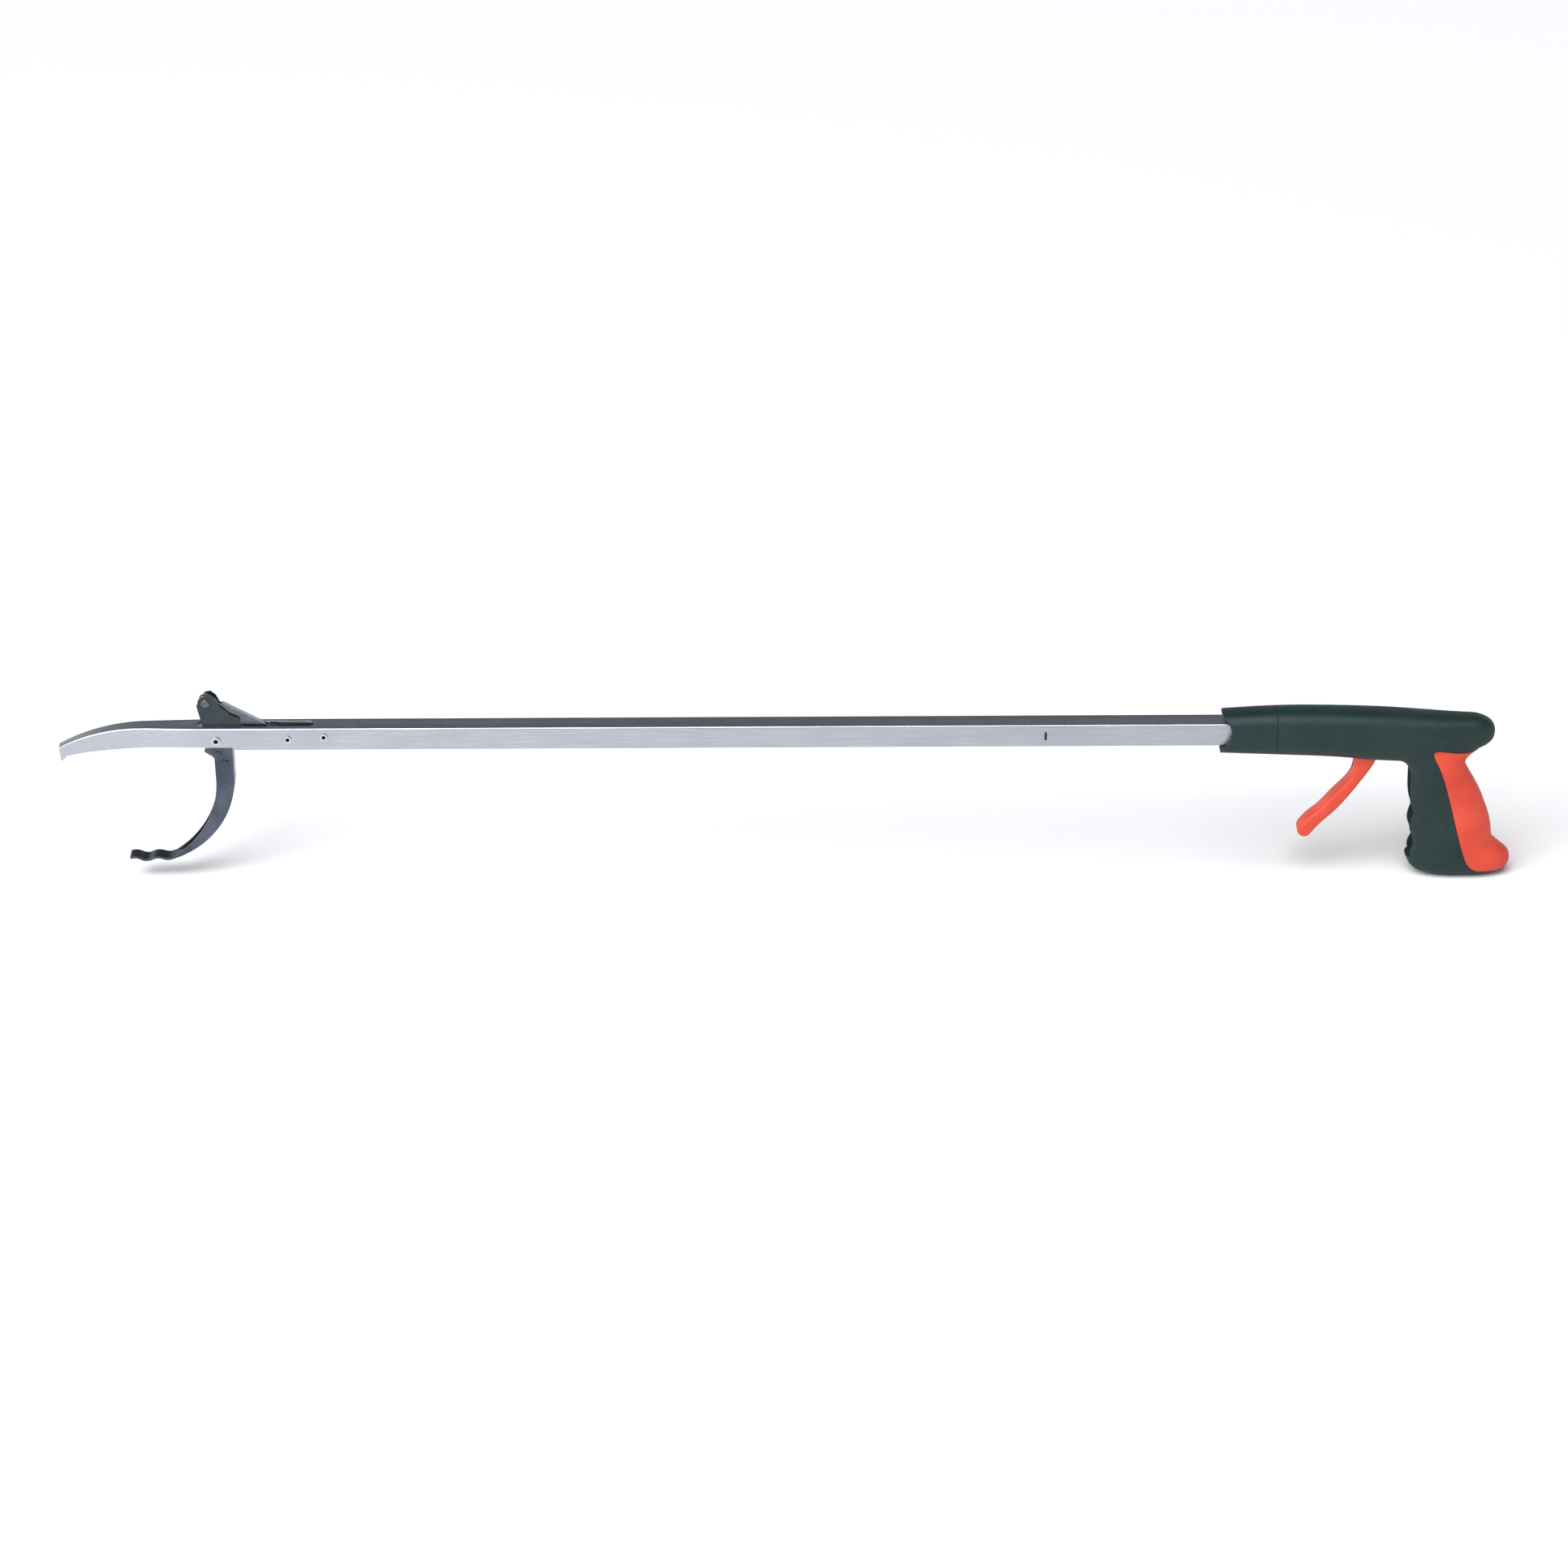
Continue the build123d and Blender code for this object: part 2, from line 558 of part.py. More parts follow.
def handle_pair(outer, pad):
    """Left and right shells, from one hollow form split down the middle."""
    shells = outer & block(SEAM_X, 60, 20, -120, 30)
    shells -= pad
    shells -= handle_cavity()
    for x_low, x_high in RIBS:
        shells += outer & block(x_low, x_high, 20, -30, 30) & body_volume(1.0)
    guard = recess(WALL) & block(-30, 0, 20, -92, -14)
    shells += outer & guard
    bosses = [disc((x, z), BOSS_R, -20, 20) for x, z, _ in SCREWS]
    pivot = [disc(TRIGGER_PIVOT, PIVOT_BOSS_R, BUSH_OUT, 20),
             disc(TRIGGER_PIVOT, PIVOT_BOSS_R, -20, -BUSH_OUT)]
    inner = outer & body_volume(BOSS_INSET) + grip_volume(BOSS_INSET)
    for boss in bosses + pivot:
        shells += boss & inner
    shells -= block(TUBE_REAR - 200, TUBE_REAR, TUBE / 2, -TUBE / 2, TUBE / 2)
    shells -= block(TUBE_REAR, TUBE_REAR + 2, TUBE / 2, -TUBE / 2, TUBE / 2)
    shells -= block(TUBE_REAR, TUBE_REAR + 40, *HOOK_SPACE)
    shells -= recess(0)
    shells -= disc(TRIGGER_PIVOT, HUB_R + HUB_GAP, -HUB_W / 2 - 0.1, HUB_W / 2 + 0.1)
    shells -= disc(TRIGGER_PIVOT, BUSH_R, -BUSH_OUT, BUSH_OUT)
    shells -= disc(TRIGGER_PIVOT, TRIGGER_PIN_R, -TRIGGER_PIN_HALF, TRIGGER_PIN_HALF)
    shells -= disc((RETAINER_X, 0), RETAINER_R, -DOWEL_END, DOWEL_END)
    for x, z, head_y in SCREWS:
        shells -= disc((x, z), SCREW_R, SCREW_TIP, 20)
        shells -= disc((x, z), SCREW_HEAD_R, head_y - SCREW_HEAD_T, 20)
    half = Box(300, 40, 300)
    return shells & Pos(0, -20, 0) * half, shells & Pos(0, 20, 0) * half


def nose_collar(outer):
    collar = outer & block(NOSE_X - 1, SEAM_X, 20, -30, 30)
    collar -= disc((NOSE_X + SCOOP - SCOOP_R, SCOOP_Z), SCOOP_R, -20, 20)
    return collar - block(NOSE_X - 2, SEAM_X + 1, TUBE / 2, -TUBE / 2, TUBE / 2)


def handle_screws():
    screws = []
    for x, z, head_y in SCREWS:
        screw = disc((x, z), SCREW_R, SCREW_TIP, head_y - SCREW_HEAD_T)
        screw += disc((x, z), SCREW_HEAD_R, head_y - SCREW_HEAD_T, head_y)
        for turn in (0, 90):
            cross = Pos(x, z) * Rot(0, 0, turn) * Rectangle(2.8, 0.6)
            screw -= slab(cross, head_y - 1.0, head_y)
        screws.append(screw)
    return Compound(screws)


def shaft_dowels():
    inner = 2.8
    return Compound([disc((RETAINER_X, 0), RETAINER_R, *ends)
                     for ends in ((-DOWEL_END, -inner), (inner, DOWEL_END))])


OUTER = handle_outer()
PAD = (OUTER & pad_region()) - (body_volume(PAD_T) + grip_volume(PAD_T))
SHELLS = handle_pair(OUTER, PAD)
ROOT_HALF = JAW_W / 2

save("shaft_tube", shaft_tube())
save("moving_jaw", moving_jaw())
save("jaw_lever", jaw_lever())
save("jaw_rivets", Compound([rivet(from_pivot(*c), JAW_RIVET_R, ROOT_HALF, 2.2, 0.6)
                             for c in JAW_RIVETS]))
save("jaw_pivot_pin", rivet(PIVOT, PIVOT_R, TUBE / 2, 2.9, 0.8, 1.5))
save("jaw_pivot_washers", jaw_pivot_washers())
save("jaw_link", jaw_link())
save("link_front_pin", rivet(LEVER_PIN, LINK_PIN_R, LEVER_OUT / 2, 2.4, 0.7))
save("link_rear_pin", disc(ROD_PIN, LINK_PIN_R, -3.5, 3.5))
save("pull_rod", pull_rod())
save("rod_guide_left", rod_guide(-1))
save("rod_guide_right", rod_guide(1))
save("guide_rivets", guide_rivets())
save("spring_seat", spring_seat())
save("spring_seat_keys", spring_seat_keys())
save("spring_collar", spring_collar())
save("collar_pin", disc(COLLAR_PIN, COLLAR_PIN_R, -COLLAR_HALF, COLLAR_HALF))
save("return_spring", return_spring())
save("shaft_end_guide", shaft_end_guide())
save("trigger", trigger())
save("trigger_bushes", trigger_bushes())
save("trigger_pivot_pin", disc(TRIGGER_PIVOT, TRIGGER_PIN_R, -TRIGGER_PIN_HALF, TRIGGER_PIN_HALF))
save("trigger_rod_pin", disc(ROD_EYE, LINK_PIN_R, *ROD_PIN_ENDS))
save("nose_collar", nose_collar(OUTER))
save("handle_shell_left", SHELLS[0])
save("handle_shell_right", SHELLS[1])
save("grip_pad", PAD)
save("handle_screws", handle_screws())
save("shaft_dowels", shaft_dowels())
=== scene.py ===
import json
from math import copysign, cos, pi, radians, sin, sqrt

import bmesh
import bpy
import numpy as np
from mathutils import Matrix, Vector


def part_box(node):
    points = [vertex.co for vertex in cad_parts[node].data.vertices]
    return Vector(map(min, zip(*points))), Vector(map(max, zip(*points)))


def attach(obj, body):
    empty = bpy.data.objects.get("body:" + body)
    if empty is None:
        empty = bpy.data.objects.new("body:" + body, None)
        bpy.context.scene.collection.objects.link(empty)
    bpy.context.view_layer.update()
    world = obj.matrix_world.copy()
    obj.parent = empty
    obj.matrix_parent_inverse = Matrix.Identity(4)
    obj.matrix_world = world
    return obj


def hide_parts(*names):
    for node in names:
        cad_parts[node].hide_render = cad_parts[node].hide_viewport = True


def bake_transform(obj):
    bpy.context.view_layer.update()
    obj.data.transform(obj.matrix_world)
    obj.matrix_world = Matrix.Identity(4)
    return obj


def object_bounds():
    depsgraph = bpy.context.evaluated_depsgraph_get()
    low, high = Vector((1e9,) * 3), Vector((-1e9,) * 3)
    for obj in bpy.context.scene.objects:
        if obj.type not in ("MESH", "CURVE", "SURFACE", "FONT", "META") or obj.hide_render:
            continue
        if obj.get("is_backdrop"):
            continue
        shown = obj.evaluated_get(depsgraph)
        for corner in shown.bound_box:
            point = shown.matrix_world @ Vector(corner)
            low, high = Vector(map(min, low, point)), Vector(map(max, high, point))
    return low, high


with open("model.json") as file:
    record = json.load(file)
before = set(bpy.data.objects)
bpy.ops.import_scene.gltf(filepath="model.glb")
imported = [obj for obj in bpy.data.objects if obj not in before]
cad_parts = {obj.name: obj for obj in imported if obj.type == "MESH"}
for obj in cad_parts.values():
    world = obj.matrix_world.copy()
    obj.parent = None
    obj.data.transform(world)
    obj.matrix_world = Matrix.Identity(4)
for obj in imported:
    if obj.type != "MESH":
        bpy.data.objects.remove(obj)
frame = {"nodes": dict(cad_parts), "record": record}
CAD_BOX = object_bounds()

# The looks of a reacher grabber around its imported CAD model. Outlines are in millimetres, as (x, z)
# with z from the shaft's axis, and become metres when a piece is finished.
MM = 0.001
SCENE = bpy.context.scene


def box_mm(name):
    """The corners of a CAD node's box, in millimetres."""
    low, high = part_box(name)
    return low / MM, high / MM


SEAT_LOW, SEAT_HIGH = box_mm("spring_seat")
AXIS_Z = (SEAT_LOW.z + SEAT_HIGH.z) / 2
COLLAR_LOW, COLLAR_HIGH = box_mm("nose_collar")
NOSE_X, SEAM_X = COLLAR_LOW.x, COLLAR_HIGH.x
TUBE_LOW, TUBE_HIGH = box_mm("shaft_tube")
TUBE = TUBE_HIGH.y - TUBE_LOW.y


# ---------------------------------------------------------------- materials

BEVEL_SAMPLES = 4
PAINTED_SHADE_SAMPLES = 6
PAINTED_SHADE_REACH = 0.0025      # how near, in metres, a surface has to be to another for painted shade to darken it
# near-black colour of the painted shade in recesses
PAINTED_SHADE = (0.004, 0.004, 0.005, 1.0)


def node(tree, kind, settings=None, **inputs):
    """A shader node with its settings and its inputs, by name or as i and a number."""
    made = tree.nodes.new("ShaderNode" + kind)
    for key, value in (settings or {}).items():
        setattr(made, key, value)
    for key, value in inputs.items():
        socket = made.inputs[int(key[1:]) if key[1:].isdigit() else key]
        if isinstance(value, bpy.types.NodeSocket):
            tree.links.new(value, socket)
        else:
            socket.default_value = value
    return made


def geometry_normal(tree):
    return tree.nodes.new("ShaderNodeNewGeometry").outputs["Normal"]


def noise(tree, scale, stretch=(1, 1, 1), detail=4.0, rough=0.55):
    """Noise with features of about 1 / scale metres, in the piece's own space."""
    place = tree.nodes.new("ShaderNodeTexCoord").outputs["Object"]
    moved = node(tree, "Mapping", Vector=place, Scale=stretch)
    made = node(tree, "TexNoise", Vector=moved.outputs[0], Scale=scale, Detail=detail,
                Roughness=rough)
    return made.outputs["Fac"]


def between(tree, value, low, high, to_low=0.0, to_high=1.0):
    """Maps value from low..high to to_low..to_high, clamped."""
    made = node(tree, "MapRange", i0=value, i1=low, i2=high, i3=to_low, i4=to_high)
    return made.outputs[0]


def mixed(tree, share, first, second):
    made = node(tree, "Mix", {"data_type": "RGBA"}, i0=share, i6=first, i7=second)
    return made.outputs[2]


def arithmetic(tree, operation, first, second):
    return node(tree, "Math", {"operation": operation}, i0=first, i1=second).outputs[0]


def rounded_normal(tree, radius):
    """The surface's direction as if its edges were rounded."""
    return node(tree, "Bevel", {"samples": BEVEL_SAMPLES}, Radius=radius).outputs[0]


def edge_share(tree, radius):
    """1 on the sharp edges of a piece, fading to 0 at a radius in metres."""
    facing = node(tree, "VectorMath", {"operation": "DOT_PRODUCT"},
                  i0=rounded_normal(tree, radius), i1=geometry_normal(tree))
    return between(tree, facing.outputs["Value"], 0.995, 0.80)


def rgb(red, green, blue):
    return (red, green, blue, 1.0)


def finish_material(name, colour, rough, height, **constants):
    """A Principled material. colour, rough and relief make a socket from the node tree.

    height is the relief, its depth and the radius to which edges look rounded, in metres."""
    made = bpy.data.materials.new(name)
    made.use_nodes = True
    tree = made.node_tree
    shader = tree.nodes["Principled BSDF"]
    tree.links.new(colour(tree), shader.inputs["Base Color"])
    tree.links.new(rough(tree), shader.inputs["Roughness"])
    relief, depth, edge = height
    bump = node(tree, "Bump", Strength=1.0, Distance=depth, Height=relief(tree),
                Normal=rounded_normal(tree, edge))
    tree.links.new(bump.outputs[0], shader.inputs["Normal"])
    for key, value in constants.items():
        shader.inputs[key.replace("_", " ")].default_value = value
    return made


def aluminium():
    """Drawn tube with a satin anodised finish: long fine die lines and a few handling marks."""
    along = (0.02, 1, 1)

    def colour(tree):
        lines = between(tree, noise(tree, 2600, along), 0.35, 0.65)
        base = mixed(tree, lines, rgb(0.36, 0.38, 0.42), rgb(0.45, 0.47, 0.50))
        cloud = between(tree, noise(tree, 22), 0.40, 0.70, 0.0, 0.5)
        base = mixed(tree, cloud, base, rgb(0.34, 0.36, 0.41))
        return mixed(tree, edge_share(tree, 0.0006), base, rgb(0.60, 0.61, 0.63))

    def rough(tree):
        lines = between(tree, noise(tree, 1800, along), 0.30, 0.70, 0.26, 0.38)
        marks = between(tree, noise(tree, 90, detail=8), 0.60, 0.72, 0.0, 0.10)
        return arithmetic(tree, "ADD", lines, marks)

    def relief(tree):
        return noise(tree, 3200, along, detail=2)

    return finish_material("satin_aluminium", colour, rough, (relief, 0.00002, 0.0003),
                           Metallic=1.0, Anisotropic=0.35)


def coated_steel(name, dark, light, wear_and_shade, metallic, low, high, painted_top_light=None):
    """Sheet or cast steel with a thin coating, with painted shade darkening its recesses; along its
    edges it takes a colour that is wear on most pieces and painted shade on the jaws.

    painted_top_light is a lighter colour for the faces that point upward: painted light on their
    tops."""

    def colour(tree):
        cloud = between(tree, noise(tree, 60, detail=6), 0.35, 0.65)
        base = mixed(tree, cloud, dark, light)
        # painted light: faces that point upward are lightened
        if painted_top_light:
            up = node(tree, "SeparateXYZ", Vector=geometry_normal(tree)).outputs["Z"]
            base = mixed(tree, between(tree, up, 0.4, 0.8), base, painted_top_light)
        # edge colour: wear on most pieces, painted shade on the jaws, whose edge colour is darker
        # than their body
        chips = between(tree, noise(tree, 700, detail=5), 0.45, 0.60)
        wear_and_shade_share = arithmetic(tree, "MULTIPLY", edge_share(tree, 0.0007), chips)
        base = mixed(tree, wear_and_shade_share, base, wear_and_shade)
        # painted shade: ambient occlusion darkens the recesses towards near black
        open_share = node(tree, "AmbientOcclusion", {"samples": PAINTED_SHADE_SAMPLES},
                          Distance=PAINTED_SHADE_REACH).outputs["AO"]
        return mixed(tree, between(tree, open_share, 0.60, 0.35), base, PAINTED_SHADE)

    def rough(tree):
        cloud = between(tree, noise(tree, 140, detail=6), 0.35, 0.65, low, high)
        handled = between(tree, noise(tree, 25), 0.5, 0.7, 0.0, 0.06)
        return arithmetic(tree, "SUBTRACT", cloud, handled)

    def relief(tree):
        return noise(tree, 1500, detail=3)

    return finish_material(name, colour, rough, (relief, 0.00003, 0.0004), Metallic=metallic)


def moulded(name, dark, light, wear_and_shade, low, high, grain, depth, **constants):
    """Moulded plastic or rubber with a fine spark-eroded grain, greasy in patches."""

    def colour(tree):
        cloud = between(tree, noise(tree, 45, detail=5), 0.35, 0.65)
        base = mixed(tree, cloud, dark, light)
        specks = between(tree, noise(tree, 900, detail=3), 0.50, 0.75, 0.0, 0.25)
        base = mixed(tree, specks, base, wear_and_shade)
        edges = between(tree, edge_share(tree, 0.0008), 0.0, 1.0, 0.0, 0.45)
        return mixed(tree, edges, base, wear_and_shade)

    def rough(tree):
        grease = between(tree, noise(tree, 30, detail=6), 0.40, 0.70)
        return between(tree, grease, 0.0, 1.0, high, low)

    def relief(tree):
        fine = noise(tree, grain, detail=2)
        broad = between(tree, noise(tree, grain / 6, detail=2), 0.3, 0.7, 0.0, 0.5)
        return arithmetic(tree, "ADD", fine, broad)

    return finish_material(name, colour, rough, (relief, depth, 0.0005), **constants)


MATERIALS = {
    "satin_aluminium": aluminium(),
    # the jaws' edge colour is darker than their body: painted shade along their edges
    "jaw_steel": coated_steel("jaw_steel", rgb(0.056, 0.066, 0.092), rgb(0.098, 0.108, 0.144),
                              rgb(0.030, 0.034, 0.045), 1.0, 0.26, 0.40),
    "black_lever": coated_steel("black_lever", rgb(0.001, 0.005, 0.007), rgb(0.004, 0.016, 0.022),
                                rgb(0.08, 0.09, 0.10), 0.0, 0.26, 0.38),
    # the link's upward faces are painted lighter: painted light on its top
    "link_steel": coated_steel("link_steel", rgb(0.070, 0.082, 0.098), rgb(0.120, 0.135, 0.155),
                               rgb(0.50, 0.52, 0.55), 0.9, 0.20, 0.30, rgb(0.62, 0.64, 0.67)),
    "rivet_steel": coated_steel("rivet_steel", rgb(0.42, 0.43, 0.45), rgb(0.54, 0.55, 0.57),
                                rgb(0.66, 0.66, 0.67), 1.0, 0.30, 0.42),
    "screw_steel": coated_steel("screw_steel", rgb(0.020, 0.020, 0.023), rgb(0.035, 0.035, 0.040),
                                rgb(0.30, 0.30, 0.31), 0.8, 0.30, 0.42),
    "nylon": moulded("nylon", rgb(0.012, 0.013, 0.014), rgb(0.022, 0.023, 0.025),
                     rgb(0.050, 0.052, 0.055), 0.38, 0.50, 1400, 0.00002),
    "dark_plastic": moulded("dark_plastic", rgb(0.004, 0.018, 0.017), rgb(0.008, 0.025, 0.023),
                            rgb(0.030, 0.055, 0.050), 0.44, 0.58, 2200, 0.00004,
                            Specular_IOR_Level=0.32),
    "orange_plastic": moulded("orange_plastic", rgb(0.54, 0.032, 0.010), rgb(0.66, 0.052, 0.019),
                              rgb(0.84, 0.120, 0.060), 0.36, 0.48, 1800, 0.00003),
    "orange_rubber": moulded("orange_rubber", rgb(0.54, 0.038, 0.015), rgb(0.66, 0.058, 0.024),
                             rgb(0.82, 0.130, 0.080), 0.52, 0.68, 1500, 0.00006),
}
# CAD nodes that look unlike the slot in their record
COATED = {"spring_seat_keys": "screw_steel", "link_front_pin": "link_steel"}


def paint(piece, slot):
    piece.data.materials.clear()
    piece.data.materials.append(MATERIALS[slot])


def paint_cad():
    """Gives each CAD node the material of its slot."""
    for part in frame["record"]["subparts"]:
        slot = COATED.get(part["node"], part["material_slot"])
        for socket in frame["nodes"][part["node"]].material_slots:
            socket.material = MATERIALS[slot]


paint_cad()


# ---------------------------------------------------------------- mesh tools

MERGE = 0.002             # points closer than this are one point
CRUMB_FACES = 20          # a loose island of fewer faces is a crumb
BEND = radians(12.0)      # the most that an edge bends at a point which only two faces share
RELAX = 0.5               # share of the way to its neighbours that a pass moves a point


def smooth_rows(rows, count):
    """Rows spaced evenly along the first column, on a smooth curve through the given rows."""
    table = np.array(rows, float)
    x = table[:, 0]
    slope = np.gradient(table, x, axis=0)
    at = np.linspace(x[0], x[-1], count)
    i = np.clip(np.searchsorted(x, at) - 1, 0, len(x) - 2)
    span = (x[i + 1] - x[i])[:, None]
    t = ((at - x[i]) / span[:, 0])[:, None]
    return (table[i] * (1 + 2 * t) * (1 - t) ** 2 + table[i + 1] * t ** 2 * (3 - 2 * t)
            + slope[i] * span * t * (1 - t) ** 2 + slope[i + 1] * span * t ** 2 * (t - 1))


def oval(half_u, half_v, squareness, count=96):
    """Points round a superellipse. A squareness of 2 is an ellipse."""
    ring = []
    for step in range(count):
        c, s = cos(2 * pi * step / count), sin(2 * pi * step / count)
        ring.append((half_u * copysign(abs(c) ** (2 / squareness), c),
                     half_v * copysign(abs(s) ** (2 / squareness), s)))
    return ring


def new_piece(name, mesh):
    piece = bpy.data.objects.new(name, mesh)
    SCENE.collection.objects.link(piece)
    return piece


def mesh_piece(name, bm):
    bmesh.ops.recalc_face_normals(bm, faces=bm.faces)
    mesh = bpy.data.meshes.new(name)
    bm.to_mesh(mesh)
    bm.free()
    return new_piece(name, mesh)


def skin(name, rings):
    """A closed mesh through a row of rings with the same number of points."""
    bm = bmesh.new()
    loops = [[bm.verts.new(point) for point in ring] for ring in rings]
    for first, second in zip(loops, loops[1:]):
        for i in range(len(first)):
            j = (i + 1) % len(first)
            bm.faces.new((first[i], first[j], second[j], second[i]))
    bm.faces.new(loops[0])
    bm.faces.new(loops[-1])
    return mesh_piece(name, bm)


def prism(name, outline, y_low, y_high):
    """A side outline, as (x, z) from the shaft's axis, extruded across the handle."""
    return skin(name, [[(x, y, AXIS_Z + z) for x, z in outline] for y in (y_low, y_high)])


def rounded(outline, share=0.3, passes=3):
    """Cuts an outline's corners, so that it ends in smooth curves."""
    for _ in range(passes):
        turned = []
        for (ax, az), (bx, bz) in zip(outline, outline[1:] + outline[:1]):
            turned.append((ax + (bx - ax) * share, az + (bz - az) * share))
            turned.append((bx - (bx - ax) * share, bz - (bz - az) * share))
        outline = turned
    return outline


def applied(piece):
    """Replaces a piece's mesh with what its modifiers make of it, and drops them."""
    graph = bpy.context.evaluated_depsgraph_get()
    mesh = bpy.data.meshes.new_from_object(piece.evaluated_get(graph))
    piece.modifiers.clear()
    piece.data = mesh
    return piece


def copied(piece, name):
    return new_piece(name, piece.data.copy())


def carved(piece, operation, *tools):
    """Cuts, joins or intersects a piece with tools, which are used up."""
    for tool in tools:
        cut = piece.modifiers.new("cut", "BOOLEAN")
        cut.operation = operation
        cut.solver = "MANIFOLD"
        cut.object = tool
    applied(piece)
    for tool in tools:
        bpy.data.objects.remove(tool)
    return piece


def settled(piece, voxel, weight, passes):
    """Remeshes a piece evenly and relaxes the points to which weight gives a share."""
    remesh = piece.modifiers.new("remesh", "REMESH")
    remesh.mode = "VOXEL"
    remesh.voxel_size = voxel
    applied(piece)
    group = piece.vertex_groups.new(name="relax")
    for vertex in piece.data.vertices:
        group.add([vertex.index], weight(vertex.co), "REPLACE")
    relax = piece.modifiers.new("relax", "SMOOTH")
    relax.factor = RELAX
    relax.iterations = passes
    relax.vertex_group = "relax"
    applied(piece)
    piece.vertex_groups.clear()
    return piece


def islands(faces):
    """The faces in groups that hang together."""
    left = set(faces)
    while left:
        island, rim = set(), {left.pop()}
        while rim:
            island |= rim
            rim = {near for face in rim for side in face.edges for near in side.link_faces}
            rim -= island
        left -= island
        yield island


def without_crumbs(piece):
    """Merges the points that coincide and deletes the crumbs that cutting leaves."""
    bm = bmesh.new()
    bm.from_mesh(piece.data)
    bmesh.ops.remove_doubles(bm, verts=bm.verts, dist=MERGE)
    bmesh.ops.dissolve_degenerate(bm, edges=bm.edges, dist=MERGE)
    # a point that only two faces share would give them slivers, back to back, as triangles
    shared = [v for v in bm.verts if len(v.link_edges) == 2 and v.calc_edge_angle(0.0) < BEND]
    bmesh.ops.dissolve_verts(bm, verts=shared)
    crumbs = [face for island in islands(bm.faces) if len(island) < CRUMB_FACES
              for face in island]
    bmesh.ops.delete(bm, geom=crumbs, context="FACES")
    bm.to_mesh(piece.data)
    bm.free()


def finished(piece, slot, node_name, sharp=35):
    """Turns a piece into metres, shades and paints it, and hides the CAD node that it stands for."""
    without_crumbs(piece)
    piece.data.transform(Matrix.Scale(MM, 4))
    piece.data.shade_smooth()
    piece.data.set_sharp_from_angle(angle=radians(sharp))
    paint(piece, slot)
    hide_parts(node_name)
    return piece


# ---------------------------------------------------------------- return spring

SPRING_TURNS = 12
RINGS_PER_TURN = 28
WIRE_R = 0.5
WIRE_SIDES = 12


def make_spring():
    """The spring on the pull rod, between the rod's collar and the seat. The real spring shortens
    there; this coil keeps one length.
    """
    low, high = box_mm("return_spring")
    reach = (high.y - low.y) / 2 - WIRE_R
    wire = oval(WIRE_R, WIRE_R, 2, WIRE_SIDES)
    rings = []
    for along in np.linspace(0, 1, SPRING_TURNS * RINGS_PER_TURN):
        turn = 2 * pi * SPRING_TURNS * along
        x = low.x + WIRE_R + (high.x - low.x - 2 * WIRE_R) * along
        rings.append([(x + v, (reach + u) * cos(turn), AXIS_Z + (reach + u) * sin(turn))
                      for u, v in wire])
    spring = finished(skin("return_spring_coil", rings), "rivet_steel", "return_spring", sharp=60)
    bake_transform(spring)


make_spring()


# ---------------------------------------------------------------- handle

# Cross-sections along the body: x, centre height, half height, half width
BODY = [(NOSE_X, -0.3, 13.4, 12.3), (SEAM_X, 0.0, 14.9, 13.4), (-73.0, -1.0, 15.7, 14.0),
        (-44.0, -2.9, 16.5, 14.1), (-20.0, -3.8, 15.6, 13.7), (-3.0, -2.6, 13.0, 12.6),
        (10.0, -1.5, 11.3, 11.2), (26.0, -0.6, 10.0, 9.8)]
BODY_ROWS = 70
BODY_SQUARE = 2.7
TAIL_X = 25.4             # rear end of the body
TAIL_L = 15.0             # length over which it rounds off
TAIL_RINGS = 14
TAIL_FULL = 0.8           # power of the rounding, below 1 for a blunt tail
# Cross-sections up the grip: z, front x, rear x, half width
GRIP = [(-99.2, -19.5, 31.5, 12.6), (-95.0, -23.0, 37.6, 13.2), (-90.5, -25.4, 39.6, 13.4),
        (-86.0, -27.0, 38.6, 13.4), (-81.5, -26.6, 33.6, 13.3), (-77.0, -24.6, 28.8, 13.2),
        (-71.5, -25.9, 26.9, 13.3), (-66.0, -27.6, 26.3, 13.4), (-60.5, -27.0, 25.0, 13.5),
        (-55.5, -25.6, 23.4, 13.5), (-50.0, -27.0, 21.2, 13.6), (-43.0, -28.0, 18.4, 13.6),
        (-34.0, -28.2, 13.6, 13.5), (-27.5, -28.4, 9.9, 13.3), (-21.5, -31.0, 7.6, 13.0),
        (-17.5, -35.5, 9.2, 12.6), (-14.0, -37.0, 13.0, 12.0), (-10.5, -37.0, 17.4, 10.6),
        (-7.0, -36.0, 18.0, 9.0)]
GRIP_ROWS = 110
GRIP_SQUARE = 2.6
BUTT_ROUND = 6.0          # radius round the bottom of the grip
VOXEL = 0.7               # size of the handle's even mesh
JUNCTION = (-33.0, -27.0, -12.0, -8.0)  # z range of the blend, fading at each end
BLEND_PASSES = 70         # relaxing passes where the grip meets the body
EVEN_OUT = 0.12           # share of the blend that all other points get
NOSE_SPARE = 8.0          # length of the form in front of the nose, which is cut off
FAR = 400.0               # well outside the handle
SHELL_T = 4.4             # wall of the shells
GUARD_T = 1.6             # wall between the trigger's recess and the cavity
SLOT_HALF = 7.1           # half width of the trigger's slot and recess
GUARD_HALF = SLOT_HALF + GUARD_T
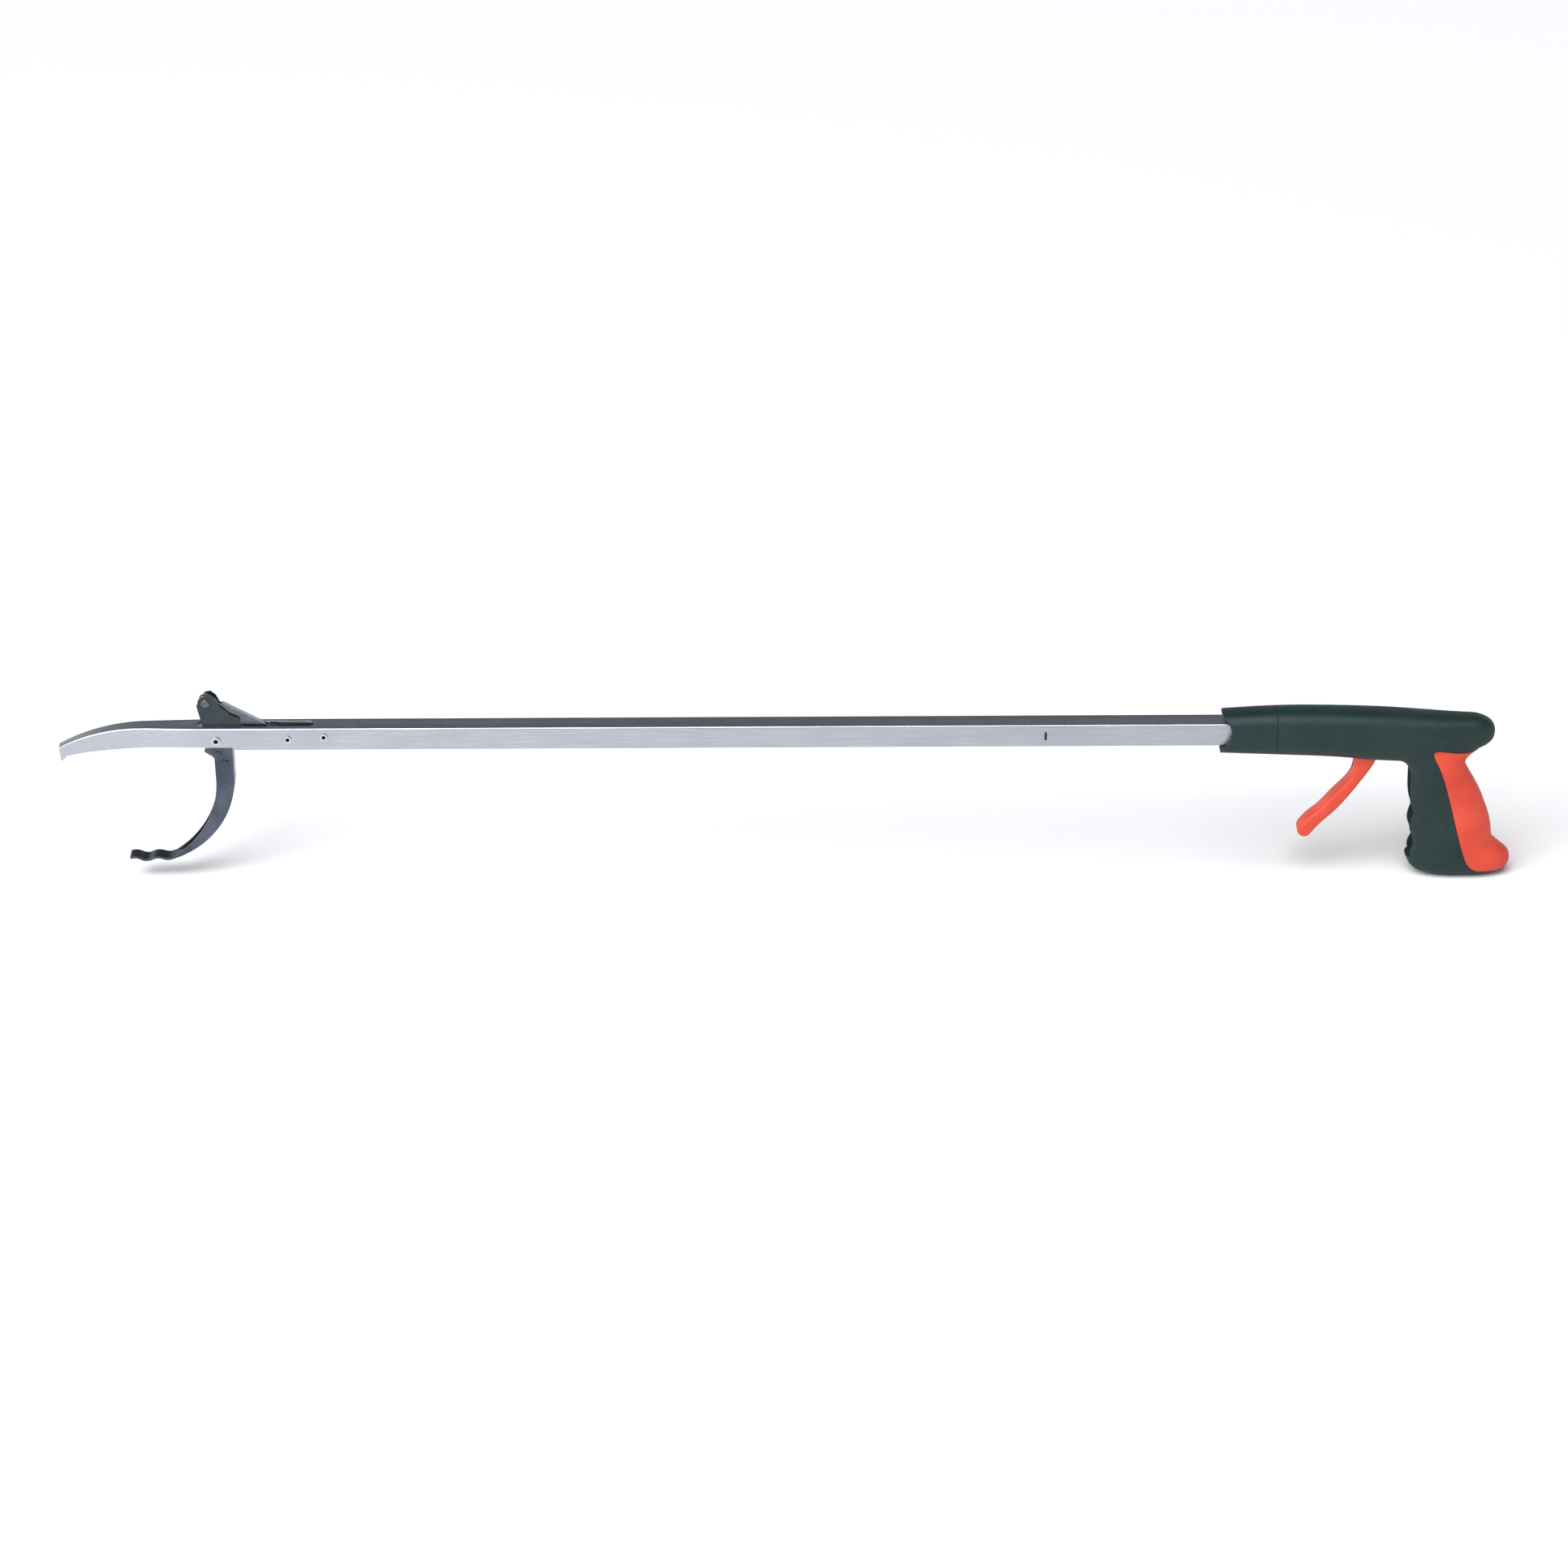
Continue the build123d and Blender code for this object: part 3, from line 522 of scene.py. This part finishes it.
# Side outline of the recess that the trigger swings in, open at the front
RECESS = [(-66.5, -9.0), (-27.0, -9.0), (-27.0, -13.0), (-24.5, -24.0), (-22.0, -38.0),
          (-19.8, -55.0), (-19.6, -72.0), (-21.5, -87.0), (-40.0, -89.0), (-66.5, -40.0)]
PAD_T = 3.0               # depth of the pad's bed
PAD_PROUD = 0.25          # height of the pad above the shells
PAD_GAP = 0.3             # crease between the pad and the shells
PAD_OUTLINE = [(-16.5, -8.5), (-3.0, -11.5), (8.0, -13.0), (24.0, -10.6), (60.0, -40.0),
               (60.0, -80.0), (50.0, -95.5), (22.0, -95.5), (13.0, -93.0), (9.5, -85.0),
               (6.5, -76.0), (1.7, -57.6), (-3.0, -40.0), (-8.6, -22.0)]
PARTING = 0.2             # gap between the two shells
SEAM_GAP = 0.25           # gap between the collar and the shells
TUBE_GAP = 0.15           # gap round the shaft
# The collar's front is scooped out by a cylinder across the handle: depth, radius, height
SCOOP, SCOOP_R, SCOOP_Z = 6.5, 13.0, 2.0
# Screws from the right: x, z and the y of the head's outer face
SCREWS = [(-62.0, 8.8, 9.6), (-8.0, -1.0, 12.0), (-11.5, -40.0, 12.2), (-5.0, -80.0, 12.0)]
HEAD_BORE_R, SCREW_BORE_R, HEAD_T = 2.8, 1.4, 1.9


def body_form(inset):
    """The body, moved in by inset, and longer than the handle at the front, where it is cut off."""
    rows = smooth_rows(BODY, BODY_ROWS)
    rings = []
    for x, z, half_z, half_y in rows[rows[:, 0] < TAIL_X - TAIL_L]:
        ring = oval(half_y - inset, half_z - inset, BODY_SQUARE)
        rings.append([(x, y, AXIS_Z + z + up) for y, up in ring])
    rings.insert(0, [(x - NOSE_SPARE, y, z) for x, y, z in rings[0]])
    for turn in np.linspace(0, pi / 2, TAIL_RINGS, endpoint=False):
        x = TAIL_X - TAIL_L + TAIL_L * sin(turn)
        z, half_z, half_y = [np.interp(x, rows[:, 0], rows[:, k]) for k in (1, 2, 3)]
        share = cos(turn) ** TAIL_FULL
        ring = oval((half_y - inset) * share, (half_z - inset) * share, BODY_SQUARE)
        rings.append([(x - inset, y, AXIS_Z + z + up) for y, up in ring])
    return skin("body_form", rings)


def grip_form(inset):
    """The grip, moved in by inset, with its top inside the body and a rounded butt."""
    rings = []
    for z, front, rear, half_y in smooth_rows(GRIP, GRIP_ROWS):
        rise = z - GRIP[0][0]
        if rise < inset:
            continue
        left = max(BUTT_ROUND - rise, 0.0)
        tuck = inset + BUTT_ROUND - sqrt(BUTT_ROUND ** 2 - left ** 2)
        ring = oval((rear - front) / 2 - tuck, half_y - tuck, GRIP_SQUARE)
        rings.append([((front + rear) / 2 + u, v, AXIS_Z + z) for u, v in ring])
    return skin("grip_form", rings)


def blend_share(point):
    """How much a point of the handle relaxes: most where the grip meets the body."""
    low, low_full, high_full, high = JUNCTION
    z = point.z - AXIS_Z
    share = min((z - low) / (low_full - low), (high - z) / (high - high_full), 1.0)
    return max(share, EVEN_OUT)


def handle_outer():
    """The whole outside of the handle in one mesh, its body and grip grown together."""
    body, grip = body_form(0), grip_form(0)
    both = bmesh.new()
    for piece in (body, grip):
        both.from_mesh(piece.data)
        bpy.data.objects.remove(piece)
    return settled(mesh_piece("handle_outer", both), VOXEL, blend_share, BLEND_PASSES)


def swollen(piece, amount):
    """A copy of a piece, moved out along its normals."""
    grown = copied(piece, "swollen")
    swell = grown.modifiers.new("swell", "DISPLACE")
    swell.strength = amount
    swell.mid_level = 0.0
    return applied(grown)


def moved_out(outline, distance):
    """An outline moved along its outward normals."""
    points = [Vector((x, z)) for x, z in outline]
    moved = []
    for before, here, after in zip(points[-1:] + points, points, points[1:] + points[:1]):
        along = (after - before).normalized()
        moved.append(tuple(here + Vector((-along.y, along.x)) * distance))
    return moved


def box_piece(name, x_low, x_high, y_low, y_high):
    outline = [(x_low, -FAR), (x_low, FAR), (x_high, FAR), (x_high, -FAR)]
    return prism(name, outline, y_low, y_high)


def bore(x, z, radius, y_low, y_high):
    return prism("bore", [(x + u, z + v) for u, v in oval(radius, radius, 2, 40)], y_low, y_high)


def shaft_hole(name):
    """A square bar a little larger than the shaft, which ends at the shaft's rear end."""
    half = TUBE / 2 + TUBE_GAP
    square = ((-half, -half), (half, -half), (half, half), (-half, half))
    return skin(name, [[(x, y, AXIS_Z + z) for y, z in square]
                       for x in (NOSE_X - FAR, TUBE_HIGH.x)])


def nose_collar(outer):
    collar = carved(copied(outer, "nose_collar_skin"), "INTERSECT",
                    box_piece("nose_box", NOSE_X, SEAM_X, -FAR, FAR))
    scoop = bore(NOSE_X + SCOOP - SCOOP_R, SCOOP_Z, SCOOP_R, -FAR, FAR)
    return carved(collar, "DIFFERENCE", scoop, shaft_hole("tube_hole"))


def pad(outer, outline):
    """The soft pad: the part of the handle within an outline and no deeper than PAD_T."""
    made = carved(swollen(outer, PAD_PROUD), "INTERSECT", prism("pad_prism", outline, -FAR, FAR))
    made.name = "grip_pad_skin"
    return carved(made, "DIFFERENCE", body_form(PAD_T), grip_form(PAD_T))


def shells(outer, pad_outline):
    """Both halves: a hollow form without the pad's bed, the trigger's slot and the screw holes."""
    guard = prism("guard", moved_out(RECESS, GUARD_T), -GUARD_HALF, GUARD_HALF)
    cavity = carved(body_form(SHELL_T), "UNION", grip_form(SHELL_T))
    cavity = carved(cavity, "DIFFERENCE", guard)
    bed = prism("pad_bed", moved_out(pad_outline, PAD_GAP), -FAR, FAR)
    bed = carved(bed, "DIFFERENCE", body_form(PAD_T + PAD_GAP), grip_form(PAD_T + PAD_GAP))
    hollow = carved(copied(outer, "hollow"), "INTERSECT",
                    box_piece("rear_box", SEAM_X + SEAM_GAP, FAR, -FAR, FAR))
    carved(hollow, "DIFFERENCE", cavity, bed, prism("recess", RECESS, -SLOT_HALF, SLOT_HALF),
           shaft_hole("front_hole"))
    halves = []
    for name, low, high in (("left", -FAR, -PARTING / 2), ("right", PARTING / 2, FAR)):
        half = carved(copied(hollow, f"handle_{name}_skin"), "INTERSECT",
                      box_piece("half_box", -FAR, FAR, low, high))
        halves.append(half)
    for x, z, head_y in SCREWS:
        carved(halves[1], "DIFFERENCE", bore(x, z, HEAD_BORE_R, head_y - HEAD_T, FAR),
               bore(x, z, SCREW_BORE_R, 0, FAR))
    bpy.data.objects.remove(hollow)
    return halves


def make_handle():
    outer = handle_outer()
    outline = rounded(PAD_OUTLINE)
    left, right = shells(outer, outline)
    for piece, slot, node_name in ((left, "dark_plastic", "handle_shell_left"),
                                   (right, "dark_plastic", "handle_shell_right"),
                                   (nose_collar(outer), "dark_plastic", "nose_collar"),
                                   (pad(outer, outline), "orange_rubber", "grip_pad")):
        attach(finished(piece, slot, node_name), "frame")
    bpy.data.objects.remove(outer)


make_handle()


# ---------------------------------------------------------------- stage, light and camera

FLOOR_GAP = 0.001
FLOOR_SIZE = 40.0
HORIZON, CEILING = 0.26, 0.38  # heights on the unit sky between which it dims
KEY_ENERGY = 3.2
KEY_ANGLE = radians(55)
KEY_DIRECTION = Vector((0.35, 0.75, -1.6))
FILL_PLACE, FILL_AIM = Vector((-1.5, -0.9, 0.9)), Vector((-0.95, -0.35, 0))
FILL_SIZE = (1.0, 0.8)
FILL_ENERGY = 16
CAMERA_TARGET = Vector((-0.4195, 0.0, 0.0253))
CAMERA_DISTANCE = 3.0
CAMERA_ELEVATION = radians(27.6)
CAMERA_ROLL = radians(-0.27)
CAMERA_LENS = 109.5
SENSOR_WIDTH = 36.0


def make_floor():
    bpy.ops.mesh.primitive_plane_add(size=FLOOR_SIZE, location=(0, 0, CAD_BOX[0].z - FLOOR_GAP))
    floor = bpy.context.object
    floor.name = "floor"
    made = bpy.data.materials.new("pale_floor")
    made.use_nodes = True
    shader = made.node_tree.nodes["Principled BSDF"]
    shader.inputs["Base Color"].default_value = rgb(0.90, 0.90, 0.91)
    shader.inputs["Roughness"].default_value = 0.8
    floor.data.materials.append(made)
    floor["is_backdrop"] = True


def make_world():
    """Pale at the horizon and dimmer above, as in a studio with a dark ceiling."""
    world = bpy.data.worlds.new("studio")
    SCENE.world = world
    world.use_nodes = True
    tree = world.node_tree
    place = tree.nodes.new("ShaderNodeTexCoord").outputs["Generated"]
    parts = node(tree, "SeparateXYZ", Vector=place)
    rise = between(tree, parts.outputs["Z"], HORIZON, CEILING)
    sky = mixed(tree, rise, rgb(0.90, 0.91, 0.93), rgb(0.07, 0.08, 0.10))
    tree.links.new(sky, tree.nodes["Background"].inputs["Color"])
    tree.nodes["Background"].inputs["Strength"].default_value = 1.0


def add_light(data, direction):
    """Hangs a lamp so that it shines along direction."""
    light = bpy.data.objects.new(data.name, data)
    SCENE.collection.objects.link(light)
    light.rotation_euler = direction.to_track_quat("-Z", "Y").to_euler()
    return light


def make_key():
    """A broad, even light from the front left and above."""
    data = bpy.data.lights.new("key", "SUN")
    data.energy = KEY_ENERGY
    data.angle = KEY_ANGLE
    add_light(data, KEY_DIRECTION)


def make_fill():
    """A softbox that brightens the jaws' end of the shaft."""
    data = bpy.data.lights.new("left_fill", "AREA")
    data.shape = "RECTANGLE"
    data.size, data.size_y = FILL_SIZE
    data.energy = FILL_ENERGY
    add_light(data, FILL_AIM - FILL_PLACE).location = FILL_PLACE


def make_camera():
    data = bpy.data.cameras.new("camera")
    data.lens = CAMERA_LENS
    data.sensor_width = SENSOR_WIDTH
    camera = bpy.data.objects.new("camera", data)
    SCENE.collection.objects.link(camera)
    back = Vector((0, -cos(CAMERA_ELEVATION), sin(CAMERA_ELEVATION)))
    camera.location = CAMERA_TARGET + back * CAMERA_DISTANCE
    aim = (-back).to_track_quat("-Z", "Y")
    camera.rotation_mode = "QUATERNION"
    camera.rotation_quaternion = aim @ Matrix.Rotation(CAMERA_ROLL, 3, "Z").to_quaternion()
    SCENE.camera = camera


make_floor()
make_world()
make_key()
make_fill()
make_camera()
SCENE.view_settings.view_transform = "Standard"

[[list(corner) for corner in ends] for ends in (CAD_BOX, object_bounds())]
